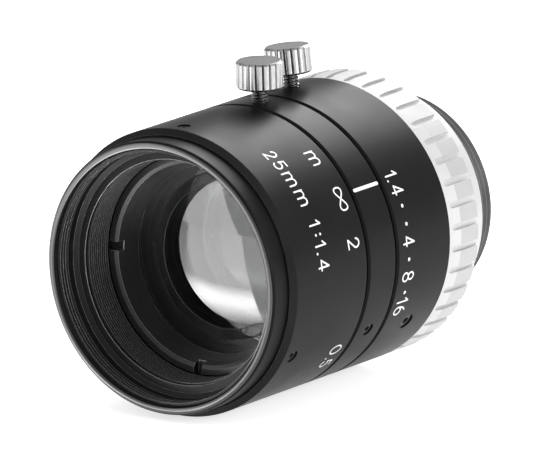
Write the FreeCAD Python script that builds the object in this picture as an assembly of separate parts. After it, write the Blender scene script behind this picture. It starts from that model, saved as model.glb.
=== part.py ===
import FreeCAD, Part
import math
import os

# Machine vision lens with a screw mount: 25 mm focal length, f/1.4, manual focus and iris.
# Millimetres. The optical axis is Y, the front looks along -Y, and the lock screws point up.
# The origin is the centre of the flange face that the camera body seats against.

# Clearances
fit = 0.02                    # between pieces that are screwed or slid together and stay put
running = 0.05                # between rings and tubes that turn or slide on each other
side_play = 0.05              # along the axis, beside a ring that turns
stud_play = 0.04              # round the blade studs and the dogs of the screws
glass_fit = 0.03              # round each lens
overcut = 1.0                 # how far a cutting tool runs past the metal

# Edges
edge_bevel = 0.3
thread_relief = 0.3           # plain run at the end of an inside thread

# Outer rings
barrel_radius = 17.2
ring_gap = 0.35               # the open groove on each side of the index band
ring_bevel = 0.25
focus_ring_length = 14.755
focus_ring_wall = 1.3
focus_bevel = 0.65
focus_lip_wall = 0.82         # where the ring passes round the front rim
index_width = 5.46
iris_ring_length = 10.6

# Mount
mount_cone_length = 2.3
mount_cone_drop = 0.35
grip_length = 3.8
grip_slots = 40
grip_slot_width = 0.75
grip_slot_depth = 0.4
grip_slot_lead = 1.45         # how far a slot runs out into the front cone
grip_slot_angle = 6.0
rear_slope_length = 1.98      # from the grip to the flange boss
rear_slope_width = 0.6
rear_slope_lead = 0.5
flange_boss_length = 3.0
flange_width = 1.65           # bright metal round the thread
mount_thread_radius = 12.7    # one inch across, 32 turns to the inch
mount_thread_length = 4.2
mount_thread_bevel = 0.3
mount_thread_step = 0.4       # the sleeve is narrower where it is screwed into the mount ring
mount_counterbore_depth = 0.5   # sunk in the flange face, for the thread to run out in
mount_counterbore_gap = 0.4   # between the thread and the counterbore's wall
mount_sleeve_wall = 1.4
mount_step_length = 1.08      # between the barrel's end and the sleeve's

# Walls of the tubes under the rings, from the focus ring inwards
sleeve_wall = 0.88            # threaded sleeve that turns with the focus ring
front_tube_wall = 0.7         # fixed tube that the sleeve is screwed on
rear_tube_wall = 1.25         # fixed tube that the iris ring turns on
barrel_spigot_length = 2.0
barrel_spigot_step = 0.4
iris_tube_wall = 0.95
iris_socket_wall = 1.18       # where the front barrel is screwed in
iris_room_margin = 1.05       # from the circle of the blades' pivots to the wall round them

# Focusing thread sleeve, and the clip ring that holds it on the front barrel
sleeve_flange_length = 2.2
sleeve_flange_depth = 0.35
sleeve_rear_gap = 0.56        # to the index band
clip_ring_length = 1.1
clip_step = 0.3               # how far the clip ring sits below the journal
clip_gap = 1.5
front_tube_gap = 1.71         # from the clip ring to the fixed tube
focus_travel = 2.27           # from far away to 0.3 m

# Front barrel
rim_overhang = 2.99           # how far the front rim stands out of the focus ring
rim_wall = 1.08               # rounded over at the front
rim_back_wall = 0.8           # behind the ledge
filter_thread_length = 2.28
filter_thread_depth = 0.3
ledge_depth = 3.68            # from the rim to the ledge inside
ledge_cone_length = 0.4
ledge_cone_width = 0.55
front_barrel_wall = 0.7       # outside the retaining ring's thread
spigot_length = 6.0

# Front lenses
front_seat_width = 1.27
front_lens_thickness = 4.5
front_lens_front_curve = 30.0
front_lens_rear_curve = 90.0
front_air_gap = 1.35
second_lens_step = 2.6        # smaller in radius than the front lens
second_lens_edge = 1.42
second_lens_ease = 6.9        # curve's radius beyond the lens's own
third_lens_thickness = 1.6
third_lens_ease = 3.1
third_lens_rim = 2.2          # flat rim round the hollow face
front_shoulder_length = 1.2
front_shoulder_width = 1.7
spacer_wall = 1.2
spacer_step = 0.6

# Front retaining ring
retainer_depth = 3.2
retainer_face_width = 0.68
retainer_mouth_bevel = 0.4
retainer_mouth_depth = 0.2
retainer_waist_step = 0.35
retainer_waist_depth = 1.4
retainer_waist_length = 0.15
retainer_lip_step = 0.45
retainer_edge_gap = 0.1       # round the front lens
retainer_notches = 4
retainer_notch_width = 1.1
retainer_notch_depth = 1.0
retainer_notch_angle = 3.5

# Iris
blade_count = 5
blade_thickness = 0.10
blade_pitch = 0.15
blade_width = 4.35
blade_edge_gap = 0.9          # from the bow's outer edge to the pivots' circle
blade_neck_start = 2.0        # from the bow's inner edge
blade_arc = 97.0
blade_swing = 29.4            # how far each blade turns from open to closed
blade_stud_radius = 0.28
blade_ear_radius = 0.5
blade_pivot_ear_radius = 0.6
blade_stud_length = 0.8
blade_stud_spacing = 1.3
stud_end_gap = 0.1
iris_turn = 51.5              # from f/1.4 to f/16
iris_web_width = 6.25         # from the wall of the iris room to the web's hole
iris_web_length = 2.3
iris_web_land = 0.6
cam_plate_length = 1.0
cam_ring_length = 4.1
cam_plate_width = 4.75        # from the wall of the iris room to the ring's hole
cam_rim_wall = 1.0
cam_first_angle = 51.0        # angle of the first blade pivot about the axis
iris_tube_overlap = 2.4       # thread that takes the rear cell

# Rear cell and its lenses
rear_cell_gap = 0.3           # inside the mount's sleeve
rear_cell_step = 2.0          # at least this much inside the iris tube
rear_cell_wall = 2.37
rear_cell_flange_length = 2.2
rear_cell_end = 0.8           # behind the rear retaining ring
rear_nose_gap = 0.87          # behind the cam ring's plate
rear_nose_wall = 1.2
rear_seat_width = 0.7
rear_thread_depth = 0.4
rear_ring_length = 1.3
rear_ring_width = 1.5
rear_ring_flare = 0.5
rear_ring_land = 0.4
fourth_lens_thickness = 1.5
fourth_lens_ease = 3.9
fourth_lens_rim = 2.0
fifth_lens_edge = 1.49
fifth_lens_ease = 6.4
rear_air_gap = 0.5
sixth_lens_edge = 1.1
sixth_lens_front_curve = 24.0
sixth_lens_rear_curve = 34.0
spanner_slot_width = 1.2
spanner_slot_depth = 0.5

# Lock screws with knurled heads
lock_radius = 1.0             # M2 x 0.4
lock_play = 0.03
lock_head_radius = 2.82
lock_head_height = 3.3
lock_head_bevel = 0.25
lock_head_gap = 1.62          # between the barrel and the head
lock_ridges = 20
lock_ridge_depth = 0.3
lock_crest_share = 0.25       # half of a ridge's crest, in ridge pitches
lock_pad_radius = 0.9
lock_pad_thickness = 0.5
lock_pad_gap = 0.02
focus_lock_offset = 2.85      # from the rear of the index band
iris_lock_offset = 5.2        # from the rear of the iris ring
iris_lock_angle = -5.5

# Grub screws
grub_radius = 0.8             # M1.6
grub_socket = 0.7             # across the flats of its hexagon
grub_socket_depth = 0.5
grub_sink = 0.2               # below the barrel's surface
focus_grub_land = 0.135       # from the sleeve's front face to the hole
focus_grubs = 3
guide_angle = 120.0
guide_dog_radius = 0.5
guide_groove_depth = 0.7
drive_angle = 123.5
drive_radius = 1.0
drive_socket = 0.875
drive_dog_radius = 0.6
drive_dog_depth = 0.65        # how far the dog reaches into the cam ring
drive_setback = 1.67          # from the blades' web, focused far away

# Distances from the axis that follow from the walls above
focus_ring_bore = barrel_radius - focus_ring_wall
sleeve_radius = focus_ring_bore - fit
sleeve_bore = sleeve_radius - sleeve_wall
journal_radius = sleeve_bore - sleeve_flange_depth - running
front_tube_radius = sleeve_bore - running
carrier_bore = front_tube_radius - front_tube_wall
carrier_radius = carrier_bore - running
iris_room_radius = carrier_radius - iris_tube_wall
iris_seat_radius = carrier_bore + rear_tube_wall
iris_ring_bore = iris_seat_radius + running
barrel_spigot_radius = iris_seat_radius - barrel_spigot_step
blade_pivot_radius = iris_room_radius - iris_room_margin
blade_outer_radius = blade_pivot_radius - blade_edge_gap
blade_inner_radius = blade_outer_radius - blade_width
iris_web_radius = iris_room_radius - iris_web_width
cam_ring_bore = iris_room_radius - cam_plate_width
spigot_radius = carrier_radius - iris_socket_wall - fit
rim_radius = barrel_radius - focus_lip_wall - running
filter_thread_radius = rim_radius - rim_wall        # M30.5 x 0.5
filter_bore_radius = filter_thread_radius - filter_thread_depth
ledge_radius = carrier_radius - front_barrel_wall
front_lens_radius = ledge_radius - front_seat_width - glass_fit
second_lens_radius = front_lens_radius - second_lens_step
second_lens_curve = second_lens_radius + second_lens_ease
front_shoulder_radius = second_lens_radius - front_shoulder_width
third_dish_radius = second_lens_radius - third_lens_rim
third_lens_curve = third_dish_radius + third_lens_ease
flange_radius = mount_thread_radius + flange_width
mount_sleeve_radius = mount_thread_radius - mount_thread_step
mount_sleeve_bore = mount_thread_radius - mount_sleeve_wall
rear_cell_radius = min(mount_sleeve_bore - rear_cell_gap, iris_room_radius - rear_cell_step)
rear_bore = rear_cell_radius - rear_cell_wall
rear_lens_radius = rear_bore - glass_fit
rear_seat_radius = rear_lens_radius - rear_seat_width
rear_thread_radius = rear_bore + rear_thread_depth
fourth_dish_radius = rear_lens_radius - fourth_lens_rim
fourth_lens_curve = fourth_dish_radius + fourth_lens_ease
fifth_lens_curve = rear_lens_radius + fifth_lens_ease

# Places along the axis that follow from the lengths above
mount_front = -(mount_cone_length + grip_length + rear_slope_length + flange_boss_length)
grip_rear = mount_front + mount_cone_length + grip_length
barrel_rear = mount_front + barrel_spigot_length
mount_sleeve_front = barrel_rear + mount_step_length
iris_rear = mount_front - side_play
iris_front = iris_rear - iris_ring_length
index_rear = iris_front - ring_gap
index_front = index_rear - index_width
focus_rear = index_front - ring_gap
focus_front = focus_rear - focus_ring_length
rim_front = focus_front - rim_overhang
ledge = rim_front + ledge_depth
rim_rear = ledge + rim_back_wall
sleeve_front = rim_rear + side_play
sleeve_rear = index_front - sleeve_rear_gap
clip_front = sleeve_front + sleeve_flange_length + side_play
clip_rear = clip_front + clip_ring_length
front_tube_front = clip_rear + front_tube_gap
focus_lock_place = index_rear - focus_lock_offset
iris_lock_place = iris_rear - iris_lock_offset
focus_grub_place = sleeve_front + focus_grub_land + fit + grub_radius
web_rear = iris_lock_place - drive_setback
web_front = web_rear - iris_web_length
iris_tube_front = web_front - spigot_length
front_shoulder = web_front - front_shoulder_length
blade_front = web_rear + side_play
blade_stack = (blade_count - 1) * blade_pitch + blade_thickness
cam_front = blade_front + blade_stack + side_play
cam_plate_rear = cam_front + cam_plate_length
cam_rear = cam_front + cam_ring_length
rear_cell_front = cam_rear + side_play
iris_tube_rear = rear_cell_front + iris_tube_overlap


def point(radius, y):
    return FreeCAD.Vector(radius, y, 0)


def turned(outline):
    """Solid turned about the axis from (radius, y) corners; four numbers are an arc's middle and end."""
    edges = []
    here = point(*outline[0][:2])
    for corner in outline[1:] + [outline[0]]:
        there = point(*corner[-2:])
        if len(corner) == 4:
            edges.append(Part.Arc(here, point(*corner[:2]), there).toShape())
        elif here.distanceToPoint(there) > 1e-6:
            edges.append(Part.makeLine(here, there))
        here = there
    face = Part.Face(Part.Wire(edges))
    return face.revolve(FreeCAD.Vector(0, 0, 0), FreeCAD.Vector(0, 1, 0), 360)


def around(shape, angle):
    """Copy turned about the axis, from the top towards the +X side."""
    copy = shape.copy()
    copy.rotate(FreeCAD.Vector(0, 0, 0), FreeCAD.Vector(0, 1, 0), angle)
    return copy


def radial_cylinder(radius, inner, outer, y, angle=0.0):
    """Round bar that stands square to the axis between two distances from it."""
    bar = Part.makeCylinder(radius, outer - inner, FreeCAD.Vector(0, y, inner), FreeCAD.Vector(0, 0, 1))
    return around(bar, angle)


def axial_cylinder(radius, length, x, y, z):
    """Round bar along the axis's direction, from y towards the rear."""
    return Part.makeCylinder(radius, length, FreeCAD.Vector(x, y, z), FreeCAD.Vector(0, 1, 0))


def tube(inner, outer, y0, y1):
    return turned([(inner, y0), (outer, y0), (outer, y1), (inner, y1)])


def sector(inner, outer, y0, y1, start, sweep):
    """Part of a tube that spans an angle from start, from the top towards the +X side."""
    corners = [FreeCAD.Vector(0, y0, inner), FreeCAD.Vector(0, y0, outer),
               FreeCAD.Vector(0, y1, outer), FreeCAD.Vector(0, y1, inner)]
    face = Part.Face(Part.makePolygon(corners + corners[:1]))
    return around(face.revolve(FreeCAD.Vector(0, 0, 0), FreeCAD.Vector(0, 1, 0), sweep), start)


def sag(curve, radius):
    """How far a spherical face has fallen back at a radius."""
    return curve - math.sqrt(curve ** 2 - radius ** 2)


def ball(vertex, curve):
    """Full ball whose face passes through a vertex on the axis; a negative curve bulges to the rear."""
    return Part.makeSphere(abs(curve), FreeCAD.Vector(0, vertex + curve, 0))


def keep(shape, name):
    shape = shape.removeSplitter()
    shape.exportStep("parts/" + name + ".step")
    print(name, len(shape.Solids), "solids", round(shape.Volume, 3), "mm3", shape.isValid())


def hexagon_socket(across, top, y, angle):
    """Hexagon hole for a key, sunk radially from a distance from the axis."""
    corner = across / math.sqrt(3)
    points = [FreeCAD.Vector(corner * math.cos(i * math.pi / 3), y + corner * math.sin(i * math.pi / 3), top)
              for i in range(6)]
    face = Part.Face(Part.makePolygon(points + points[:1]))
    return around(face.extrude(FreeCAD.Vector(0, 0, -grub_socket_depth)), angle)


def grub_screw(radius, across, inner, y, angle):
    outer = barrel_radius - grub_sink
    body = radial_cylinder(radius, inner, outer, y, angle)
    return body.cut(hexagon_socket(across, outer, y, angle))


# Places of the glass: the front group is built up from the shoulder that it is clamped against,
# and the rear group from the front of its cell
def front_group():
    places = {}
    places["third_rim"] = front_shoulder
    places["third_rear"] = front_shoulder - sag(third_lens_curve, third_dish_radius)
    places["third_front"] = places["third_rear"] - third_lens_thickness
    places["second_edge"] = places["third_front"] - second_lens_edge
    places["second_front"] = places["second_edge"] - sag(second_lens_curve, second_lens_radius)
    places["front_rear"] = places["second_front"] - front_air_gap
    places["front_front"] = places["front_rear"] - front_lens_thickness
    places["front_edge_rear"] = places["front_rear"] + sag(front_lens_rear_curve, front_lens_radius)
    places["front_edge"] = places["front_front"] + sag(front_lens_front_curve, front_lens_radius)
    places["spacer_face"] = places["second_edge"] - spacer_step
    return places


def rear_group():
    places = {}
    places["nose_front"] = cam_plate_rear + rear_nose_gap
    places["fourth_rim"] = places["nose_front"] + rear_ring_length
    places["fourth_front"] = places["fourth_rim"] + sag(fourth_lens_curve, fourth_dish_radius)
    places["fifth_front"] = places["fourth_front"] + fourth_lens_thickness
    places["fifth_edge"] = places["fifth_front"] + fifth_lens_edge
    places["fifth_rear"] = places["fifth_edge"] + sag(fifth_lens_curve, rear_lens_radius)
    places["seat"] = places["fifth_rear"] - sag(fifth_lens_curve, rear_seat_radius)
    places["sixth_front"] = places["fifth_rear"] + rear_air_gap
    places["sixth_seat"] = places["sixth_front"] + sag(sixth_lens_front_curve, rear_seat_radius)
    places["sixth_edge_front"] = places["sixth_front"] + sag(sixth_lens_front_curve, rear_lens_radius)
    places["sixth_edge"] = places["sixth_edge_front"] + sixth_lens_edge
    places["sixth_rear"] = places["sixth_edge"] + sag(sixth_lens_rear_curve, rear_lens_radius)
    places["ring_lip"] = places["sixth_rear"] - sag(sixth_lens_rear_curve, rear_lens_radius - rear_ring_width)
    places["ring_rear"] = places["ring_lip"] + rear_ring_length
    places["cell_rear"] = places["ring_rear"] + rear_cell_end
    return places


front = front_group()
rear = rear_group()

# The front retaining ring is cut back from the bore that it is screwed into, towards the glass
retainer_radius = ledge_radius - fit
retainer_mouth_radius = retainer_radius - edge_bevel - retainer_face_width - retainer_mouth_bevel
retainer_waist_radius = retainer_mouth_radius - retainer_waist_step
retainer_lip_radius = retainer_waist_radius - retainer_lip_step
retainer_seat = front["front_front"] + sag(front_lens_front_curve, retainer_lip_radius)
retainer_front = retainer_seat - retainer_depth


# Front lenses
def front_element():
    half = front_lens_radius / 2
    return turned([(0, front["front_front"]),
                   (half, front["front_front"] + sag(front_lens_front_curve, half),
                    front_lens_radius, front["front_edge"]),
                   (front_lens_radius, front["front_edge_rear"]),
                   (half, front["front_rear"] + sag(front_lens_rear_curve, half), 0, front["front_rear"])])


def second_element():
    half = second_lens_radius / 2
    return turned([(0, front["second_front"]),
                   (half, front["second_front"] + sag(second_lens_curve, half),
                    second_lens_radius, front["second_edge"]),
                   (second_lens_radius, front["third_front"]),
                   (0, front["third_front"])])


def third_element():
    half = third_dish_radius / 2
    return turned([(0, front["third_front"]),
                   (second_lens_radius, front["third_front"]),
                   (second_lens_radius, front["third_rim"]),
                   (third_dish_radius, front["third_rim"]),
                   (half, front["third_rear"] + sag(third_lens_curve, half), 0, front["third_rear"])])


def front_spacer():
    """Ring that keeps the front lens off the second one; each face is cut to the glass."""
    inner = second_lens_radius - spacer_wall
    bar = tube(inner, second_lens_radius, front["front_rear"], front["second_edge"])
    collar = tube(second_lens_radius, front_lens_radius, front["front_rear"], front["spacer_face"])
    ring = bar.fuse(collar)
    glass = front_element().fuse(second_element())
    return ring.cut(glass)


def front_barrel():
    """One turned piece: the rounded rim with the filter thread, the ledge, and the bores for the glass."""
    lens_bore = front_lens_radius + glass_fit
    doublet_bore = second_lens_radius + glass_fit
    thread_end = retainer_seat - thread_relief
    clip_radius = journal_radius - clip_step
    lip = rim_wall / 2
    return turned([
        (filter_thread_radius, rim_front + lip), (rim_radius - lip, rim_front, rim_radius, rim_front + lip),
        (rim_radius, rim_rear),
        (journal_radius, rim_rear), (journal_radius, clip_front),
        (clip_radius, clip_front), (clip_radius, clip_rear),
        (carrier_radius, clip_rear), (carrier_radius, iris_tube_front),
        (spigot_radius, iris_tube_front), (spigot_radius, web_front),
        (front_shoulder_radius, web_front), (front_shoulder_radius, front_shoulder),
        (doublet_bore, front_shoulder), (doublet_bore, front["spacer_face"]),
        (lens_bore, front["spacer_face"]), (lens_bore, thread_end),
        (ledge_radius, thread_end), (ledge_radius, ledge),
        (filter_bore_radius - ledge_cone_width, ledge), (filter_bore_radius, ledge - ledge_cone_length),
        (filter_bore_radius, rim_front + filter_thread_length),
        (filter_thread_radius, rim_front + filter_thread_length - thread_relief)])


def front_retaining_ring():
    """Threaded ring with four spanner notches; its lip is cut to the front lens."""
    step = retainer_seat - thread_relief
    skirt = front_lens_radius - retainer_edge_gap
    waist_front = retainer_front + retainer_waist_depth
    ring = turned([
        (retainer_mouth_radius, retainer_front + retainer_mouth_depth),
        (retainer_mouth_radius + retainer_mouth_bevel, retainer_front),
        (retainer_radius - edge_bevel, retainer_front), (retainer_radius, retainer_front + edge_bevel),
        (retainer_radius, step), (skirt, step), (skirt, front["front_edge_rear"]),
        (retainer_lip_radius, front["front_edge_rear"]), (retainer_lip_radius, retainer_seat),
        (retainer_waist_radius, waist_front + retainer_waist_length), (retainer_waist_radius, waist_front)])
    ring = ring.cut(ball(front["front_front"], front_lens_front_curve))
    for i in range(retainer_notches):
        notch = Part.makeBox(retainer_notch_width, retainer_notch_depth + overcut,
                             retainer_radius - retainer_mouth_radius + 2 * overcut,
                             FreeCAD.Vector(-retainer_notch_width / 2, retainer_front - overcut,
                                            retainer_mouth_radius - overcut))
        ring = ring.cut(around(notch, retainer_notch_angle + i * 360.0 / retainer_notches))
    return ring


# Iris
def blade_pivot(index):
    return cam_first_angle + index * 360.0 / blade_count


def drive_stud(swing):
    """Place of a drive stud beside a pivot at the top, when its blade has turned by swing degrees."""
    start = -(90.0 + blade_swing / 2)
    turn = math.radians(start + swing)
    return (-blade_stud_spacing * math.sin(turn), blade_pivot_radius + blade_stud_spacing * math.cos(turn))


def stud_arm(x, z, level):
    """Straight web of the ear between the two studs."""
    length = math.hypot(x, z - blade_pivot_radius)
    arm = Part.makeBox(length, blade_thickness, 2 * blade_ear_radius,
                       FreeCAD.Vector(0, level, -blade_ear_radius))
    arm.rotate(FreeCAD.Vector(0, level, 0), FreeCAD.Vector(0, 1, 0),
               -math.degrees(math.atan2(z - blade_pivot_radius, x)))
    arm.translate(FreeCAD.Vector(0, 0, blade_pivot_radius))
    return arm


def iris_blade(index):
    """Thin bow with an ear that carries its pivot stud in front and its drive stud behind."""
    level = blade_front + index * blade_pitch
    bow = sector(blade_inner_radius, blade_outer_radius, level, level + blade_thickness,
                 -blade_arc, blade_arc)
    tip_radius = (blade_outer_radius - blade_inner_radius) / 2
    tip = around(axial_cylinder(tip_radius, blade_thickness, 0, level, blade_inner_radius + tip_radius),
                 -blade_arc)
    neck = Part.makeBox(2 * blade_ear_radius, blade_thickness,
                        blade_pivot_radius - blade_inner_radius - blade_neck_start,
                        FreeCAD.Vector(-blade_ear_radius, level, blade_inner_radius + blade_neck_start))
    pivot_ear = axial_cylinder(blade_pivot_ear_radius, blade_thickness, 0, level, blade_pivot_radius)
    x, z = drive_stud(0.0)
    drive_ear = axial_cylinder(blade_ear_radius, blade_thickness, x, level, z)
    arm = stud_arm(x, z, level)
    pivot = axial_cylinder(blade_stud_radius, level - web_rear + blade_stud_length,
                           0, web_rear - blade_stud_length, blade_pivot_radius)
    drive = axial_cylinder(blade_stud_radius, cam_front - level - blade_thickness + blade_stud_length,
                           x, level + blade_thickness, z)
    blade = bow.fuse([tip, neck, pivot_ear, drive_ear, arm, pivot, drive])
    return around(blade, blade_pivot(index))


def cam_slot(steps=8):
    """Slot that a drive stud follows, for the blade whose pivot is at the top."""
    path = []
    for i in range(steps + 1):
        share = i / steps
        x, z = drive_stud(share * blade_swing)
        turn = math.radians(share * iris_turn)
        path.append((x * math.cos(turn) + z * math.sin(turn), z * math.cos(turn) - x * math.sin(turn)))
    half = blade_stud_radius + stud_play
    front_end = cam_front - overcut
    length = cam_plate_length + overcut
    sides = []
    for side in (half, -half):
        row = []
        for i, (x, z) in enumerate(path):
            before = path[max(i - 1, 0)]
            after = path[min(i + 1, steps)]
            run = math.hypot(after[0] - before[0], after[1] - before[1])
            across = ((after[1] - before[1]) / run, -(after[0] - before[0]) / run)
            row.append(FreeCAD.Vector(x + side * across[0], front_end, z + side * across[1]))
        sides.append(row)
    edges = []
    for row in sides:
        curve = Part.BSplineCurve()
        curve.interpolate(row)
        edges.append(curve.toShape())
    edges.append(Part.makeLine(sides[0][0], sides[1][0]))
    edges.append(Part.makeLine(sides[0][-1], sides[1][-1]))
    wire = Part.Wire(Part.__sortEdges__(edges))
    slot = Part.Face(wire).extrude(FreeCAD.Vector(0, length, 0))
    for x, z in (path[0], path[-1]):
        slot = slot.fuse(axial_cylinder(half, length, x, front_end, z))
    return slot


def iris_cam_ring():
    """Ring that swings the blades: curved slots in its plate, and a groove for the drive screw."""
    outer = iris_room_radius - running
    rim_bore = outer - cam_rim_wall
    ring = turned([(cam_ring_bore, cam_front), (outer, cam_front), (outer, cam_rear), (rim_bore, cam_rear),
                   (rim_bore, cam_plate_rear), (cam_ring_bore, cam_plate_rear)])
    slot = cam_slot()
    cutters = [around(slot, blade_pivot(i)) for i in range(blade_count)]
    half = drive_dog_radius + stud_play
    depth = drive_dog_depth + stud_play
    groove = Part.makeBox(2 * half, cam_ring_length + 2 * overcut, depth + overcut,
                          FreeCAD.Vector(-half, cam_front - overcut, outer - depth))
    cutters.append(around(groove, drive_angle))
    return ring.cut(Part.makeCompound(cutters))


def iris_tube():
    """Tube that slides in the fixed barrel, with the web that the blades turn on."""
    socket = spigot_radius + fit
    tube_body = turned([
        (socket, iris_tube_front), (carrier_radius, iris_tube_front), (carrier_radius, iris_tube_rear),
        (iris_room_radius, iris_tube_rear), (iris_room_radius, web_rear),
        (iris_web_radius, web_rear), (iris_web_radius, web_rear - iris_web_land),
        (front_shoulder_radius, web_front), (socket, web_front)])
    hole_depth = blade_stud_length + stud_end_gap
    hole = axial_cylinder(blade_stud_radius + stud_play, hole_depth + overcut,
                          0, web_rear - hole_depth, blade_pivot_radius)
    cutters = [around(hole, blade_pivot(i)) for i in range(blade_count)]
    half = drive_dog_radius + stud_play
    margin = math.degrees(half / iris_room_radius)
    cutters.append(sector(iris_room_radius - overcut, carrier_radius + overcut, iris_lock_place - half,
                          iris_lock_place + focus_travel + half,
                          drive_angle - iris_turn - margin, iris_turn + 2 * margin))
    half = guide_dog_radius + stud_play
    groove = Part.makeBox(2 * half, focus_travel + 2 * half, guide_groove_depth + overcut,
                          FreeCAD.Vector(-half, focus_lock_place - half, carrier_radius - guide_groove_depth))
    cutters.append(around(groove, guide_angle))
    return tube_body.cut(Part.makeCompound(cutters))


# Rear cell and its lenses
def fourth_element():
    half = fourth_dish_radius / 2
    return turned([(0, rear["fourth_front"]),
                   (half, rear["fourth_front"] - sag(fourth_lens_curve, half),
                    fourth_dish_radius, rear["fourth_rim"]),
                   (rear_lens_radius, rear["fourth_rim"]), (rear_lens_radius, rear["fifth_front"]),
                   (0, rear["fifth_front"])])


def fifth_element():
    half = rear_lens_radius / 2
    return turned([(0, rear["fifth_front"]), (rear_lens_radius, rear["fifth_front"]),
                   (rear_lens_radius, rear["fifth_edge"]),
                   (half, rear["fifth_rear"] - sag(fifth_lens_curve, half), 0, rear["fifth_rear"])])


def sixth_element():
    half = rear_lens_radius / 2
    return turned([(0, rear["sixth_front"]),
                   (half, rear["sixth_front"] + sag(sixth_lens_front_curve, half),
                    rear_lens_radius, rear["sixth_edge_front"]),
                   (rear_lens_radius, rear["sixth_edge"]),
                   (half, rear["sixth_rear"] - sag(sixth_lens_rear_curve, half), 0, rear["sixth_rear"])])


def rear_cell():
    """Turned cell that closes the iris tube and holds the rear lenses from both ends."""
    flange = iris_room_radius - fit
    flange_rear = rear_cell_front + rear_cell_flange_length
    nose_radius = rear_bore + rear_nose_wall
    cell = turned([
        (rear_thread_radius, rear["nose_front"]), (nose_radius, rear["nose_front"]),
        (nose_radius, rear_cell_front), (flange, rear_cell_front), (flange, flange_rear),
        (rear_cell_radius, flange_rear), (rear_cell_radius, rear["cell_rear"]),
        (rear_thread_radius + edge_bevel, rear["cell_rear"]), (rear_thread_radius, rear["ring_rear"]),
        (rear_thread_radius, rear["ring_lip"]), (rear_bore, rear["ring_lip"]),
        (rear_bore, rear["sixth_seat"]), (rear_seat_radius, rear["sixth_seat"]),
        (rear_seat_radius, rear["seat"]), (rear_bore, rear["seat"]), (rear_bore, rear["fourth_rim"]),
        (rear_thread_radius, rear["fourth_rim"])])
    return cell.cut(fifth_element().fuse(sixth_element()))


def spanner_slots(y):
    """Bar that cuts two slots across a rear ring's face for a spanner."""
    reach = rear_thread_radius + overcut
    return Part.makeBox(spanner_slot_width, spanner_slot_depth, 2 * reach,
                        FreeCAD.Vector(-spanner_slot_width / 2, y, -reach))


def rear_doublet_ring():
    """Threaded ring in front of the cemented pair, with two spanner slots."""
    outer = rear_thread_radius - fit
    inner = fourth_dish_radius + rear_ring_land
    ring = turned([(inner + rear_ring_flare, rear["nose_front"]), (outer, rear["nose_front"]),
                   (outer, rear["fourth_rim"]), (inner, rear["fourth_rim"])])
    return ring.cut(spanner_slots(rear["nose_front"]))


def rear_retaining_ring():
    """Threaded ring behind the last lens; its lip is cut to the glass."""
    outer = rear_thread_radius - fit
    inner = rear_lens_radius - rear_ring_width
    ring = turned([(inner, rear["sixth_edge"]), (rear_lens_radius, rear["sixth_edge"]),
                   (rear_lens_radius, rear["ring_lip"]), (outer, rear["ring_lip"]),
                   (outer, rear["ring_rear"]), (inner + rear_ring_flare, rear["ring_rear"]),
                   (inner, rear["ring_lip"] + rear_ring_land)])
    ring = ring.cut(ball(rear["sixth_rear"], -sixth_lens_rear_curve))
    return ring.cut(spanner_slots(rear["ring_rear"] - spanner_slot_depth))


# Focusing
def helicoid_sleeve():
    """Threaded sleeve that turns with the focus ring and carries the front barrel along."""
    flange_bore = journal_radius + running
    flange_rear = sleeve_front + sleeve_flange_length
    return turned([
        (flange_bore, sleeve_front), (sleeve_radius, sleeve_front), (sleeve_radius, sleeve_rear),
        (sleeve_bore, sleeve_rear), (sleeve_bore, flange_rear), (flange_bore, flange_rear)])


def sleeve_clip_ring():
    """Split ring that snaps on the front barrel behind the sleeve's flange."""
    inner = journal_radius - clip_step
    outer = sleeve_bore - running
    ring = tube(inner, outer, clip_front, clip_rear)
    gap = Part.makeBox(clip_gap, clip_ring_length + 2 * overcut, outer - inner + 2 * overcut,
                       FreeCAD.Vector(-clip_gap / 2, clip_front - overcut, inner - overcut))
    return ring.cut(around(gap, 180.0))


def focus_ring():
    """Plain grip sleeve with a broad bevel in front, clamped on the sleeve by three grub screws."""
    rim_bore = rim_radius + running
    ring = turned([
        (rim_bore, focus_front), (barrel_radius - focus_bevel, focus_front),
        (barrel_radius, focus_front + focus_bevel), (barrel_radius, focus_rear - ring_bevel),
        (barrel_radius - ring_bevel, focus_rear), (focus_ring_bore, focus_rear),
        (focus_ring_bore, sleeve_front), (rim_bore, sleeve_front)])
    holes = [radial_cylinder(grub_radius + fit, focus_ring_bore - overcut, barrel_radius + overcut,
                             focus_grub_place, i * 360.0 / focus_grubs) for i in range(focus_grubs)]
    return ring.cut(Part.makeCompound(holes))


def focus_grub_screws():
    return Part.makeCompound([grub_screw(grub_radius, grub_socket, sleeve_radius, focus_grub_place,
                                         i * 360.0 / focus_grubs) for i in range(focus_grubs)])


# Fixed barrel
def main_barrel():
    """Fixed tube with the index band between its two threaded ends."""
    barrel = turned([
        (carrier_bore, front_tube_front), (front_tube_radius, front_tube_front),
        (front_tube_radius, index_front), (barrel_radius - ring_bevel, index_front),
        (barrel_radius, index_front + ring_bevel), (barrel_radius, index_rear - ring_bevel),
        (barrel_radius - ring_bevel, index_rear), (iris_seat_radius, index_rear),
        (iris_seat_radius, mount_front), (barrel_spigot_radius, mount_front),
        (barrel_spigot_radius, barrel_rear), (carrier_bore, barrel_rear)])
    half = drive_dog_radius + stud_play
    margin = math.degrees(half / carrier_bore)
    inner = carrier_bore - overcut
    outer = barrel_radius + overcut
    cutters = [
        radial_cylinder(lock_radius + lock_play, inner, outer, focus_lock_place),
        radial_cylinder(grub_radius + fit, inner, outer, focus_lock_place, guide_angle),
        sector(inner, iris_ring_bore, iris_lock_place - half, iris_lock_place + half,
               drive_angle - iris_turn - margin, iris_turn + 2 * margin)]
    return barrel.cut(Part.makeCompound(cutters))


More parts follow.
